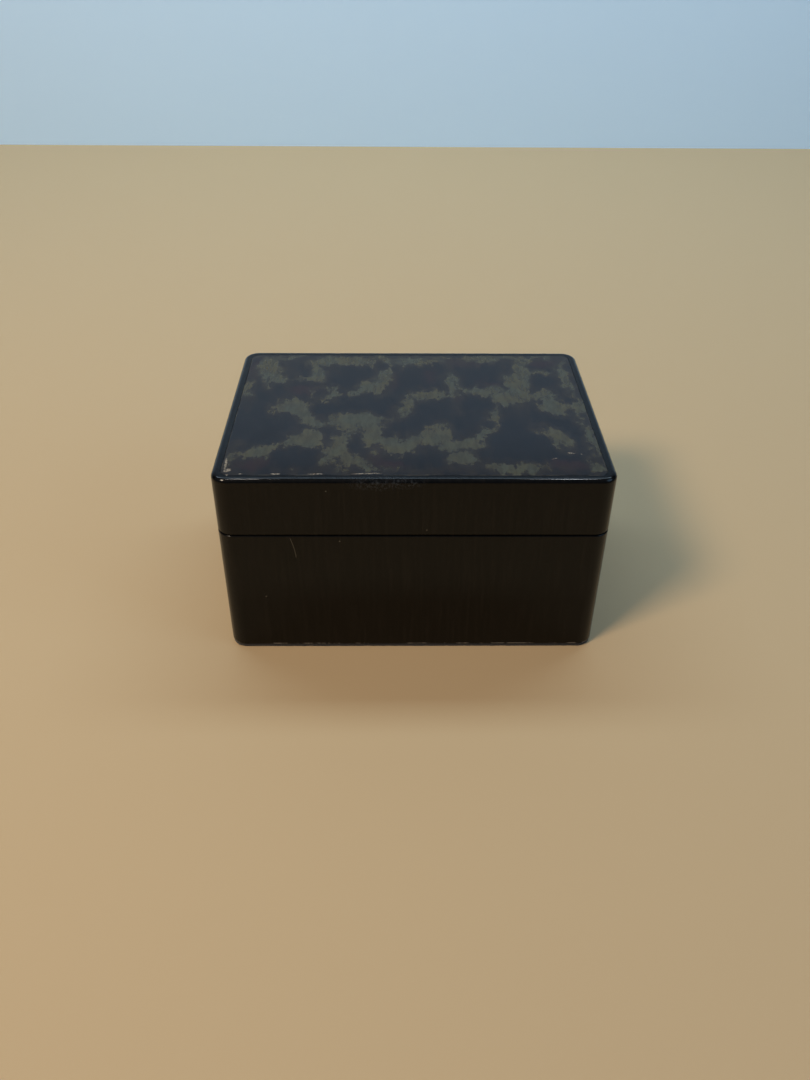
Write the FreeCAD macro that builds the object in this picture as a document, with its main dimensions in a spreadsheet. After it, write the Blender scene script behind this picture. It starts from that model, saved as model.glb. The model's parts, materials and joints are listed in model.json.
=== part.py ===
import FreeCAD, Part
import math
import os
import Sketcher

# A hinged, lacquered case for a cake of rosin, closed. Millimetres.
# +Z is up, -Y is the front, +X is the right. The origin is the centre of the underside.
# Two rigid bodies: the base, and the lid that turns on two slot hinges in the back wall.

DIMENSIONS = [
    # alias, millimetres (or degrees), meaning
    ("box_wide", 100.0, "outside width"),
    ("box_deep", 72.0, "outside depth"),
    ("box_tall", 55.0, "outside height, felt included"),
    ("seam_level", 38.3, "height of the joint between base and lid"),
    ("seam_gap", 0.3, "gap between the two rims"),
    ("corner_round", 4.2, "upright corner radius"),
    ("edge_round", 1.3, "radius of the lid's top edges"),
    ("foot_round", 0.35, "radius of the base walls' bottom edges"),
    ("seam_round", 0.35, "radius of the rims' outer edges"),
    ("wall", 4.0, "thickness of the base walls"),
    ("lid_play", 0.3, "gap between the liners' lip and the lid rails"),
    ("felt_thick", 1.1, "underside felt"),
    ("felt_inset", 0.15, "felt edge to wall face"),
    ("floor_thick", 3.0, "bottom board"),
    ("ceiling_thick", 3.2, "lid's top board"),
    ("panel_thick", 1.0, "inlaid panel"),
    ("panel_side", 2.4, "rim left and right of the panel"),
    ("panel_front", 2.1, "rim in front of the panel"),
    ("panel_back", 2.5, "rim behind the panel"),
    ("panel_corner", 2.3, "panel corner radius"),
    ("panel_bevel", 0.12, "broken edge of the panel"),
    ("liner_thick", 1.6, "velvet-covered liner board"),
    ("lip_tall", 2.9, "liner above the seam level"),
    ("lip_play", 0.4, "gap between the lip and the lid's strips"),
    ("liner_round", 0.5, "rounding of the liners' free edges"),
    ("soft_play", 0.2, "gap round a drop-in soft piece"),
    ("pad_thick", 6.0, "padded ceiling"),
    ("pad_round", 2.0, "rounding of the pad's lower edges"),
    ("cradle_tall", 30.0, "flocked block"),
    ("cradle_round", 1.0, "rounding of the block's top edges"),
    ("recess_wide", 62.0, "cake recess, left to right"),
    ("recess_deep", 36.0, "cake recess, front to back"),
    ("recess_sunk", 9.5, "cake recess depth"),
    ("recess_corner", 4.0, "cake recess corner radius"),
    ("cloth_thick", 0.8, "cloth under the cake"),
    ("cloth_margin", 7.0, "cloth lying on the block past the recess"),
    ("cake_wide", 58.0, "rosin cake, left to right"),
    ("cake_deep", 32.0, "rosin cake, front to back"),
    ("cake_tall", 16.0, "rosin cake thickness"),
    ("cake_corner", 3.0, "rosin cake upright corner radius"),
    ("cake_draft", 3.0, "mould draft in degrees"),
    ("cake_round", 0.9, "rounding of the cake's top edges"),
    ("track_radius", 55.0, "radius of the hollow worn by the bow"),
    ("track_sunk", 0.7, "depth of the worn hollow"),
    ("hinge_reach", 28.0, "hinge centre from the middle of the box"),
    ("hinge_wide", 12.0, "hinge width"),
    ("knuckle_radius", 1.25, "hinge barrel radius"),
    ("knuckle_mid", 5.8, "lid knuckle length"),
    ("knuckle_gap", 0.15, "gap round and beside a knuckle"),
    ("pin_radius", 0.6, "hinge pin radius"),
    ("pin_play", 0.04, "radial gap between the pin and the lid knuckle"),
    ("leaf_thick", 0.8, "hinge leaf thickness"),
    ("leaf_tall", 8.0, "hinge leaf height"),
    ("brad_radius", 0.5, "brad radius"),
    ("brad_long", 3.0, "brad length"),
    ("brad_reach", 3.5, "brad from the middle of its hinge"),
    ("brad_level", 5.5, "brad from the hinge axis"),
    ("bevel_angle", 49.5, "slope of the stop bevels behind the hinge axis, degrees"),
    ("spare", 5.0, "how far a cutting shape runs past what it cuts"),
]

doc = FreeCAD.newDocument("RosinCase")
sheet = doc.addObject("Spreadsheet::Sheet", "Sizes")
for row, (alias, size, meaning) in enumerate(DIMENSIONS, start=1):
    sheet.set(f"A{row}", meaning)
    sheet.set(f"B{row}", str(size))
    sheet.setAlias(f"B{row}", alias)
doc.recompute()

WORDS = {alias: f"Sizes.{alias}" for alias, size, meaning in DIMENSIONS}


def formula(text):
    """Turn a formula in {alias} names into a spreadsheet expression."""
    return text.format(**WORDS)


def amount(text):
    """The present value of a formula."""
    return float(sheet.evalExpression(formula(text)))


# Levels and places that several pieces share.
BASE_RIM = "({seam_level} - {seam_gap} / 2)"
LID_RIM = "({seam_level} + {seam_gap} / 2)"
INNER_WIDE = "({box_wide} - 2 * {wall})"
INNER_DEEP = "({box_deep} - 2 * {wall})"
LID_INNER_WIDE = "({box_wide} - 2 * {wall} + 2 * {lid_play})"
LID_INNER_DEEP = "({box_deep} - 2 * {wall} + 2 * {lid_play})"
FLOOR_TOP = "({felt_thick} + {floor_thick})"
CEILING = "({box_tall} - {panel_thick} - {ceiling_thick})"
LIP_TOP = "({seam_level} + {lip_tall})"
CRADLE_TOP = "({felt_thick} + {floor_thick} + {cradle_tall})"
RECESS_FLOOR = "({felt_thick} + {floor_thick} + {cradle_tall} - {recess_sunk})"
HINGE_DEPTH = "({box_deep} / 2 - {wall} / 2)"
NOTCH_RADIUS = "({knuckle_radius} + {knuckle_gap})"
PANEL_WIDE = "({box_wide} - 2 * {panel_side})"
PANEL_DEEP = "({box_deep} - {panel_front} - {panel_back})"
PANEL_SHIFT = "({panel_front} - {panel_back}) / 2"

nodes = []


def keep(piece, label):
    """Name a finished sub-part and list it for export."""
    piece.Label = label
    nodes.append(piece)
    return piece


def place(piece, x="0", y="0", z="0"):
    """Bind a sub-part's position to the spreadsheet."""
    for axis, text in (("x", x), ("y", y), ("z", z)):
        piece.setExpression(f"Placement.Base.{axis}", formula(text))


def new_body(name):
    return doc.addObject("PartDesign::Body", name)


def new_sketch(body, plane, name, x="0", y="0", z="0"):
    """A sketch on one of the body's own origin planes, shifted by formulas in the plane's axes."""
    sketch = body.newObject("Sketcher::SketchObject", name)
    support = next(item for item in body.Origin.OriginFeatures if item.Role == plane)
    sketch.AttachmentSupport = [(support, "")]
    sketch.MapMode = "FlatFace"
    for axis, text in (("x", x), ("y", y), ("z", z)):
        sketch.setExpression(f"AttachmentOffset.Base.{axis}", formula(text))
    return sketch


def size_constraint(sketch, constraint, name, text):
    """Add a dimension and bind it to the spreadsheet."""
    index = sketch.addConstraint(constraint)
    sketch.renameConstraint(index, name)
    sketch.setExpression(f"Constraints.{name}", formula(text))


def draw_rectangle(sketch, wide, tall):
    """A rectangle centred on the sketch's origin."""
    a = amount(wide) / 2
    b = amount(tall) / 2
    corners = [(-a, -b), (a, -b), (a, b), (-a, b)]
    for index, start in enumerate(corners):
        end = corners[(index + 1) % 4]
        sketch.addGeometry(Part.LineSegment(FreeCAD.Vector(*start, 0), FreeCAD.Vector(*end, 0)))
    for index in range(4):
        sketch.addConstraint(Sketcher.Constraint("Coincident", index, 2, (index + 1) % 4, 1))
    for index in (0, 2):
        sketch.addConstraint(Sketcher.Constraint("Horizontal", index))
        sketch.addConstraint(Sketcher.Constraint("Vertical", index + 1))
    sketch.addConstraint(Sketcher.Constraint("Symmetric", 0, 1, 1, 2, -1, 1))
    size_constraint(sketch, Sketcher.Constraint("DistanceX", 0, 1, 0, 2, 2 * a), "wide", wide)
    size_constraint(sketch, Sketcher.Constraint("DistanceY", 1, 1, 1, 2, 2 * b), "tall", tall)


def draw_rounded(sketch, wide, tall, radius):
    """A rectangle with rounded corners, centred on the sketch's origin."""
    a = amount(wide) / 2
    b = amount(tall) / 2
    r = amount(radius)
    quarter = math.pi / 2
    sides = [((r - a, -b), (a - r, -b)), ((a, r - b), (a, b - r)),
             ((a - r, b), (r - a, b)), ((-a, b - r), (-a, r - b))]
    centres = [(a - r, r - b), (a - r, b - r), (r - a, b - r), (r - a, r - b)]
    for start, end in sides:
        sketch.addGeometry(Part.LineSegment(FreeCAD.Vector(*start, 0), FreeCAD.Vector(*end, 0)))
    for index, centre in enumerate(centres):
        circle = Part.Circle(FreeCAD.Vector(*centre, 0), FreeCAD.Vector(0, 0, 1), r)
        sketch.addGeometry(Part.ArcOfCircle(circle, (index - 1) * quarter, index * quarter))
    for index in range(4):
        arc = 4 + index
        sketch.addConstraint(Sketcher.Constraint("Tangent", index, 2, arc, 1))
        sketch.addConstraint(Sketcher.Constraint("Tangent", arc, 2, (index + 1) % 4, 1))
    for index in (0, 2):
        sketch.addConstraint(Sketcher.Constraint("Horizontal", index))
        sketch.addConstraint(Sketcher.Constraint("Vertical", index + 1))
    for arc in (5, 6, 7):
        sketch.addConstraint(Sketcher.Constraint("Equal", 4, arc))
    sketch.addConstraint(Sketcher.Constraint("Symmetric", 4, 3, 6, 3, -1, 1))
    size_constraint(sketch, Sketcher.Constraint("Radius", 4, r), "radius", radius)
    size_constraint(sketch, Sketcher.Constraint("DistanceX", 3, 1, 1, 1, 2 * a), "wide", wide)
    size_constraint(sketch, Sketcher.Constraint("DistanceY", 0, 1, 2, 1, 2 * b), "tall", tall)


def draw_circle(sketch, radius):
    """A circle centred on the sketch's origin."""
    circle = Part.Circle(FreeCAD.Vector(0, 0, 0), FreeCAD.Vector(0, 0, 1), amount(radius))
    sketch.addGeometry(circle)
    sketch.addConstraint(Sketcher.Constraint("Coincident", 0, 3, -1, 1))
    size_constraint(sketch, Sketcher.Constraint("Radius", 0, amount(radius)), "radius", radius)


def draw_bevel(sketch, reach, upward):
    """A right triangle from the origin: level for reach, then up or down by the bevel angle."""
    rise = reach + " * tan({bevel_angle} * 1 deg)"
    a = amount(reach)
    b = amount(rise) * (1 if upward else -1)
    corners = [(0, 0), (a, 0), (a, b)]
    for index, start in enumerate(corners):
        end = corners[(index + 1) % 3]
        sketch.addGeometry(Part.LineSegment(FreeCAD.Vector(*start, 0), FreeCAD.Vector(*end, 0)))
    for index in range(3):
        sketch.addConstraint(Sketcher.Constraint("Coincident", index, 2, (index + 1) % 3, 1))
    sketch.addConstraint(Sketcher.Constraint("Coincident", 0, 1, -1, 1))
    sketch.addConstraint(Sketcher.Constraint("Horizontal", 0))
    sketch.addConstraint(Sketcher.Constraint("Vertical", 1))
    size_constraint(sketch, Sketcher.Constraint("DistanceX", 0, 1, 0, 2, a), "reach", reach)
    low, high = (1, 2) if upward else (2, 1)
    size_constraint(sketch, Sketcher.Constraint("DistanceY", 1, low, 1, high, abs(b)), "rise", rise)


def pad(body, sketch, length, both_ways=False, draft=None):
    """Pad a sketch along its normal, or to both sides of it."""
    feature = body.newObject("PartDesign::Pad", sketch.Label + "_pad")
    feature.Profile = sketch
    feature.setExpression("Length", formula(length))
    if both_ways:
        feature.SideType = "Symmetric"
    if draft:
        feature.setExpression("TaperAngle", formula("-" + draft))
    doc.recompute()
    return feature


def pocket(body, sketch, length, both_ways=False, along_normal=False):
    """Cut a sketch against its normal, along it or to both sides, and check that material goes."""
    before = body.Shape.Volume
    feature = body.newObject("PartDesign::Pocket", sketch.Label + "_pocket")
    feature.Profile = sketch
    feature.Reversed = along_normal
    feature.setExpression("Length", formula(length))
    if both_ways:
        feature.SideType = "Symmetric"
    doc.recompute()
    if body.Shape.Volume >= before:
        raise RuntimeError(f"{feature.Label} cuts nothing")
    return feature


def dress(body, kind, size_name, size, level):
    """Round or bevel every edge that lies flat at a height measured in the body's own axes."""
    height = amount(level)
    tolerance = 1e-4
    dressed = body.Tip
    picked = []
    for index, edge in enumerate(dressed.Shape.Edges, start=1):
        box = edge.BoundBox
        if abs(box.ZMin - height) < tolerance and abs(box.ZMax - height) < tolerance:
            picked.append(f"Edge{index}")
    feature = body.newObject(f"PartDesign::{kind}", f"{body.Name}_{kind}")
    feature.Base = (dressed, picked)
    feature.setExpression(size_name, formula(size))
    doc.recompute()
    return feature


def round_level(body, size, level):
    return dress(body, "Fillet", "Radius", size, level)


def bevel_level(body, size, level):
    return dress(body, "Chamfer", "Size", size, level)


def slab(label, wide, deep, tall, radius=None, draft=None):
    """An upright block on the body's own origin, with square or rounded upright corners."""
    body = new_body(label)
    sketch = new_sketch(body, "XY_Plane", label + "_plan")
    if radius:
        draw_rounded(sketch, wide, deep, radius)
    else:
        draw_rectangle(sketch, wide, deep)
    pad(body, sketch, tall, draft=draft)
    return body


# ---------------------------------------------------------------- base and lid rings

def cut_for_hinges(body, tag, rim, toward):
    """Stop bevel, barrel notches, leaf slots and brad holes. toward is +1 in the lid, -1 in the base."""
    sign = "+" if toward > 0 else "-"
    sketch = new_sketch(body, "YZ_Plane", tag + "_bevel", x=HINGE_DEPTH, y=rim)
    draw_bevel(sketch, "({wall} / 2 + {spare})", upward=toward > 0)
    pocket(body, sketch, "{box_wide} + {spare}", both_ways=True)
    slot_tall = "({leaf_tall} + " + NOTCH_RADIUS + ")"
    for side, reach in (("left", "-{hinge_reach}"), ("right", "{hinge_reach}")):
        sketch = new_sketch(body, "YZ_Plane", f"{tag}_{side}_notch", HINGE_DEPTH, "{seam_level}", reach)
        draw_circle(sketch, NOTCH_RADIUS)
        pocket(body, sketch, "{hinge_wide} + 2 * {knuckle_gap}", both_ways=True)
        middle = "{seam_level} " + sign + slot_tall + " / 2"
        sketch = new_sketch(body, "YZ_Plane", f"{tag}_{side}_slot", HINGE_DEPTH, middle, reach)
        draw_rectangle(sketch, "{leaf_thick}", slot_tall)
        pocket(body, sketch, "{hinge_wide}", both_ways=True)
        for end in ("-", "+"):
            across = f"{reach} {end} " + "{brad_reach}"
            height = "{seam_level} " + sign + " {brad_level}"
            start = "-(" + HINGE_DEPTH + " + {brad_long} / 2)"
            name = f"{tag}_{side}_brad_" + ("inner" if end == "-" else "outer")
            sketch = new_sketch(body, "XZ_Plane", name, across, height, start)
            draw_circle(sketch, "{brad_radius}")
            pocket(body, sketch, "{brad_long} + {wall}", along_normal=True)


def base_ring():
    """The four base walls as one ring, before the mitres divide it."""
    body = new_body("base_ring")
    sketch = new_sketch(body, "XY_Plane", "base_outside", z="{felt_thick}")
    draw_rounded(sketch, "{box_wide}", "{box_deep}", "{corner_round}")
    pad(body, sketch, BASE_RIM + " - {felt_thick}")
    round_level(body, "{foot_round}", "{felt_thick}")
    round_level(body, "{seam_round}", BASE_RIM)
    sketch = new_sketch(body, "XY_Plane", "base_inside", z=BASE_RIM)
    draw_rectangle(sketch, INNER_WIDE, INNER_DEEP)
    pocket(body, sketch, "{box_tall}")
    cut_for_hinges(body, "base", BASE_RIM, -1)
    return body


def lid_ring():
    """The four lid rails as one ring, rebated for the panel."""
    body = new_body("lid_ring")
    sketch = new_sketch(body, "XY_Plane", "lid_outside", z=LID_RIM)
    draw_rounded(sketch, "{box_wide}", "{box_deep}", "{corner_round}")
    pad(body, sketch, "{box_tall} - " + LID_RIM)
    round_level(body, "{edge_round}", "{box_tall}")
    round_level(body, "{seam_round}", LID_RIM)
    sketch = new_sketch(body, "XY_Plane", "lid_inside", z="{box_tall}")
    draw_rectangle(sketch, LID_INNER_WIDE, LID_INNER_DEEP)
    pocket(body, sketch, "{box_tall}")
    sketch = new_sketch(body, "XY_Plane", "lid_rebate", y=PANEL_SHIFT, z="{box_tall}")
    draw_rounded(sketch, PANEL_WIDE, PANEL_DEEP, "{panel_corner}")
    pocket(body, sketch, "{panel_thick}")
    cut_for_hinges(body, "lid", LID_RIM, 1)
    return body


def mitre_wedge(name, long_side):
    """One of the four mitred quarters of the plan, standing taller than the box.

    The long sides (front and back) end in a ridge as long as the plan's width less its depth.
    The short sides (left and right) end in a point.
    """
    wedge = doc.addObject("Part::Wedge", name)
    half = "({box_wide} / 2)" if long_side else "({box_deep} / 2)"
    ridge = "({box_wide} / 2 - {box_deep} / 2)" if long_side else "0"
    texts = {"Xmin": f"-{half}", "Xmax": half, "Ymin": "-{box_deep} / 2", "Ymax": "0",
             "Zmin": "-{spare}", "Zmax": "{box_tall} + {spare}",
             "X2min": f"-{ridge}", "X2max": ridge,
             "Z2min": "-{spare}", "Z2max": "{box_tall} + {spare}"}
    for property_name, text in texts.items():
        wedge.setExpression(property_name, formula(text))
    return wedge


def divide(ring, family, names):
    """Split a ring at its mitres into front, back, left and right pieces."""
    upright = FreeCAD.Vector(0, 0, 1)
    for side, turn, long_side in (("front", 0, True), ("right", 90, False),
                                  ("back", 180, True), ("left", 270, False)):
        wedge = mitre_wedge(f"{family}_{side}_mitre", long_side)
        wedge.Placement = FreeCAD.Placement(FreeCAD.Vector(), FreeCAD.Rotation(upright, turn))
        if not long_side:
            shift = "({box_wide} - {box_deep}) / 2"
            place(wedge, x=shift if side == "right" else f"-{shift}")
        piece = doc.addObject("Part::Common", names.format(side))
        piece.Base = ring
        piece.Tool = wedge
        keep(piece, names.format(side))
    doc.recompute()


divide(base_ring(), "base", "base_{}_wall")
divide(lid_ring(), "lid", "lid_{}_rail")


# ---------------------------------------------------------------- boards, felt and panel

felt = slab("underside_felt", "{box_wide} - 2 * {felt_inset}", "{box_deep} - 2 * {felt_inset}",
            "{felt_thick}", "{corner_round} - {felt_inset}")
keep(felt, "underside_felt")

floor = slab("base_bottom_board", INNER_WIDE, INNER_DEEP, "{floor_thick}")
place(floor, z="{felt_thick}")
keep(floor, "base_bottom_board")

ceiling = slab("lid_top_board", LID_INNER_WIDE, LID_INNER_DEEP, "{ceiling_thick}")
place(ceiling, z=CEILING)
keep(ceiling, "lid_top_board")

panel = slab("tortoiseshell_panel", PANEL_WIDE, PANEL_DEEP, "{panel_thick}", "{panel_corner}")
bevel_level(panel, "{panel_bevel}", "{panel_thick}")
place(panel, y=PANEL_SHIFT, z="{box_tall} - {panel_thick}")
keep(panel, "tortoiseshell_panel")


# ---------------------------------------------------------------- velvet-covered liners

def liner_set(names, wide, deep, low, tall, free_edge):
    """Four upright boards inside a ring: front and back run full width, the sides fit between them."""
    across = "(" + wide + " / 2 - {liner_thick} / 2)"
    along = "(" + deep + " / 2 - {liner_thick} / 2)"
    between = "(" + deep + " - 2 * {liner_thick})"
    layout = (("front", wide, "{liner_thick}", "0", "-" + along),
              ("back", wide, "{liner_thick}", "0", along),
              ("left", "{liner_thick}", between, "-" + across, "0"),
              ("right", "{liner_thick}", between, across, "0"))
    for side, size_x, size_y, x, y in layout:
        board = slab(names.format(side), size_x, size_y, tall)
        round_level(board, "{liner_round}", free_edge)
        place(board, x, y, low)
        keep(board, names.format(side))


liner_tall = "(" + LIP_TOP + " - " + FLOOR_TOP + ")"
liner_set("{}_liner", INNER_WIDE, INNER_DEEP, FLOOR_TOP, liner_tall, liner_tall)
strip_low = "(" + LIP_TOP + " + {lip_play})"
strip_tall = "(" + CEILING + " - " + strip_low + ")"
liner_set("lid_{}_liner", LID_INNER_WIDE, LID_INNER_DEEP, strip_low, strip_tall, "0")


# ---------------------------------------------------------------- soft pieces and the cake

def padded_ceiling():
    """The padded velvet ceiling of the lid, its lower edges rounded."""
    room = " - 2 * {liner_thick} - 2 * {soft_play}"
    pad_body = slab("lid_pad", LID_INNER_WIDE + room, LID_INNER_DEEP + room, "{pad_thick}")
    round_level(pad_body, "{pad_round}", "0")
    place(pad_body, z=CEILING + " - {pad_thick}")
    keep(pad_body, "lid_pad")


def cradle():
    """The flocked block that fills the base, with the cake's recess in its top."""
    room = " - 2 * {liner_thick} - 2 * {soft_play}"
    body = slab("cake_cradle", INNER_WIDE + room, INNER_DEEP + room, "{cradle_tall}",
                "{cradle_round}")
    round_level(body, "{cradle_round}", "{cradle_tall}")
    sketch = new_sketch(body, "XY_Plane", "recess_plan", z="{cradle_tall}")
    draw_rounded(sketch, "{recess_wide}", "{recess_deep}", "{recess_corner}")
    pocket(body, sketch, "{recess_sunk}")
    place(body, z=FLOOR_TOP)
    keep(body, "cake_cradle")


def cloth():
    """The cloth pressed into the recess, its edges lying on the block. Its origin is the recess floor."""
    body = new_body("rosin_cloth")
    shrink = " - 2 * {soft_play}"
    sketch = new_sketch(body, "XY_Plane", "cloth_well")
    draw_rounded(sketch, "{recess_wide}" + shrink, "{recess_deep}" + shrink,
                 "{recess_corner} - {soft_play}")
    pad(body, sketch, "{recess_sunk} + {cloth_thick}")
    sketch = new_sketch(body, "XY_Plane", "cloth_edges", z="{recess_sunk}")
    draw_rounded(sketch, "{recess_wide} + 2 * {cloth_margin}", "{recess_deep} + 2 * {cloth_margin}",
                 "{recess_corner}")
    pad(body, sketch, "{cloth_thick}")
    sketch = new_sketch(body, "XY_Plane", "cloth_hollow", z="{recess_sunk} + {cloth_thick}")
    shrink = " - 2 * {soft_play} - 2 * {cloth_thick}"
    draw_rounded(sketch, "{recess_wide}" + shrink, "{recess_deep}" + shrink,
                 "{recess_corner} - {soft_play} - {cloth_thick}")
    pocket(body, sketch, "{recess_sunk}")
    place(body, z=RECESS_FLOOR)
    keep(body, "rosin_cloth")


def cake():
    """The cast cake: drafted sides, rounded top edges and a shallow hollow worn by the bow."""
    body = slab("rosin_cake", "{cake_wide}", "{cake_deep}", "{cake_tall}", "{cake_corner}",
                draft="{cake_draft}")
    round_level(body, "{cake_round}", "{cake_tall}")
    sketch = new_sketch(body, "YZ_Plane", "bow_track", y="{cake_tall} + {track_radius} - {track_sunk}")
    draw_circle(sketch, "{track_radius}")
    pocket(body, sketch, "{cake_wide} + {spare}", both_ways=True)
    place(body, z=RECESS_FLOOR + " + {cloth_thick}")
    keep(body, "rosin_cake")


padded_ceiling()
cradle()
cloth()
cake()


# ---------------------------------------------------------------- hinges

def leaf(label, x, in_lid):
    """A hinge leaf about its own axis. The base leaf has the two outer knuckles, the lid leaf the middle.

    It is drawn hanging down from the axis. The lid's leaf is turned over.
    """
    body = new_body(label)
    neck = "(" + NOTCH_RADIUS + ")"
    knuckles = "{knuckle_mid}" if in_lid else "{hinge_wide}"
    sketch = new_sketch(body, "YZ_Plane", label + "_plate", y="-" + neck + " - {leaf_tall} / 2")
    draw_rectangle(sketch, "{leaf_thick}", "{leaf_tall}")
    pad(body, sketch, "{hinge_wide}", both_ways=True)
    sketch = new_sketch(body, "YZ_Plane", label + "_neck", y="-" + neck + " / 2")
    draw_rectangle(sketch, "{leaf_thick}", neck)
    pad(body, sketch, knuckles, both_ways=True)
    sketch = new_sketch(body, "YZ_Plane", label + "_knuckle")
    draw_circle(sketch, "{knuckle_radius}")
    pad(body, sketch, knuckles, both_ways=True)
    if not in_lid:
        sketch = new_sketch(body, "YZ_Plane", label + "_gap")
        draw_rectangle(sketch, "2 * " + NOTCH_RADIUS, "2 * " + NOTCH_RADIUS)
        pocket(body, sketch, "{knuckle_mid} + 2 * {knuckle_gap}", both_ways=True)
    sketch = new_sketch(body, "YZ_Plane", label + "_bore")
    draw_circle(sketch, "{pin_radius} + {pin_play}" if in_lid else "{pin_radius}")
    pocket(body, sketch, "{hinge_wide} + {spare}", both_ways=True)
    for end in ("-", "+"):
        name = label + ("_hole_left" if end == "-" else "_hole_right")
        sketch = new_sketch(body, "XZ_Plane", name, end + "{brad_reach}", "-{brad_level}")
        draw_circle(sketch, "{brad_radius}")
        pocket(body, sketch, "{spare}", both_ways=True)
    if in_lid:
        turned = FreeCAD.Rotation(FreeCAD.Vector(1, 0, 0), 180)
        body.Placement = FreeCAD.Placement(FreeCAD.Vector(), turned)
    place(body, x, HINGE_DEPTH, "{seam_level}")
    keep(body, label)


def pin(label, x):
    """A hinge pin as long as its hinge is wide."""
    body = new_body(label)
    sketch = new_sketch(body, "YZ_Plane", label + "_section")
    draw_circle(sketch, "{pin_radius}")
    pad(body, sketch, "{hinge_wide}", both_ways=True)
    place(body, x, HINGE_DEPTH, "{seam_level}")
    keep(body, label)


def brads(label, toward):
    """Four separate brads, two through each hinge leaf, pressed in from the inside face."""
    links = []
    lying = FreeCAD.Rotation(FreeCAD.Vector(1, 0, 0), -90)
    for hinge in ("-{hinge_reach}", "{hinge_reach}"):
        for end in ("-", "+"):
            brad = doc.addObject("Part::Cylinder", f"{label}_{len(links) + 1}")
            brad.Placement = FreeCAD.Placement(FreeCAD.Vector(), lying)
            brad.setExpression("Radius", formula("{brad_radius}"))
            brad.setExpression("Height", formula("{brad_long}"))
            place(brad, f"{hinge} {end} " + "{brad_reach}", HINGE_DEPTH + " - {brad_long} / 2",
                  "{seam_level} " + toward + " {brad_level}")
            links.append(brad)
    group = doc.addObject("Part::Compound", label)
    group.Links = links
    keep(group, label)


for side, x in (("left", "-{hinge_reach}"), ("right", "{hinge_reach}")):
    leaf(f"hinge_{side}_base_leaf", x, in_lid=False)
    leaf(f"hinge_{side}_lid_leaf", x, in_lid=True)
    pin(f"hinge_{side}_pin", x)
brads("base_hinge_brads", "-")
brads("lid_hinge_brads", "+")
doc.recompute()


# ---------------------------------------------------------------- check and export

for item in doc.Objects:
    if "Invalid" in item.State or "Error" in item.State:
        raise RuntimeError(f"{item.Label} failed: {item.State}")
for node in nodes:
    if node.Shape.isNull() or not node.Shape.isValid():
        raise RuntimeError(f"{node.Label} has no valid shape")

os.makedirs("parts", exist_ok=True)
for node in nodes:
    node.Shape.exportStep(f"parts/{node.Label}.step")
    print(node.Label, round(node.Shape.Volume, 1), len(node.Shape.Solids))
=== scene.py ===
import json
import math

import bpy
from mathutils import Matrix, Vector, noise


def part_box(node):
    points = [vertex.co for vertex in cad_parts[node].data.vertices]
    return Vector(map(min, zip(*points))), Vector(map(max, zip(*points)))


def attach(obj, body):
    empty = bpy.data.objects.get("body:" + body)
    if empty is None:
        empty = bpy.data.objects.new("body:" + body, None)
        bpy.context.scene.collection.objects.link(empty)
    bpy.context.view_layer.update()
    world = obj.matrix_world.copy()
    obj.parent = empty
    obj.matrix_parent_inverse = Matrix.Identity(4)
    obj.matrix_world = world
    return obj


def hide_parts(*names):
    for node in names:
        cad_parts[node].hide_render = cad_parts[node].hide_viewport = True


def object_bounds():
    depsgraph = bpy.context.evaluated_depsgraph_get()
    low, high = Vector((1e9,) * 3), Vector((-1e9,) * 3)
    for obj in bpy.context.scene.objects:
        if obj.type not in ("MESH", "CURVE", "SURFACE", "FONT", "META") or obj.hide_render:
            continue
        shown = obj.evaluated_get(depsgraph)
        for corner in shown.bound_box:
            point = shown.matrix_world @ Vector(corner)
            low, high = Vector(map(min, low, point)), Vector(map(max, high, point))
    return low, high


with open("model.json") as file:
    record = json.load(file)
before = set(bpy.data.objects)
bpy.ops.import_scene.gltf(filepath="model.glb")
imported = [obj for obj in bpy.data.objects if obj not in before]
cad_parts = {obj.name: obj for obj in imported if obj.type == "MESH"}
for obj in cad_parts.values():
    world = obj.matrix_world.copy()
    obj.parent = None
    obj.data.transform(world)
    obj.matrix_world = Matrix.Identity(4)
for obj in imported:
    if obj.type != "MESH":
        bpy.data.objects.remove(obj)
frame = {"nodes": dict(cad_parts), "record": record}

# A hinged, black lacquered case with a tortoiseshell panel in its lid, holding a cake of rosin.
# Metres, in the CAD frame: +Z up, -Y front, origin at the middle of the underside. Materials
# work in millimetres.

MM = 0.001
cad_low, cad_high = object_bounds()
BOX_WIDE = cad_high.x - cad_low.x
BOX_TALL = cad_high.z
panel_low, panel_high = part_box("tortoiseshell_panel")
wall_low, wall_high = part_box("base_front_wall")
rail_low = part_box("lid_front_rail")[0]
FRONT = wall_low.y / MM         # the front face, the walls' bottom and the seam, in millimetres
FOOT = wall_low.z / MM
SEAM = (wall_high.z + rail_low.z) / 2 / MM
CLOTH_WIDE = 94.6 * MM          # the flannel laid flat
CLOTH_DEEP = 68.6 * MM
FLAT_PLACE = "flat_place"       # the mesh attribute that remembers where each point was when flat


# ------------------------------------------------------------------ material building

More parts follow.
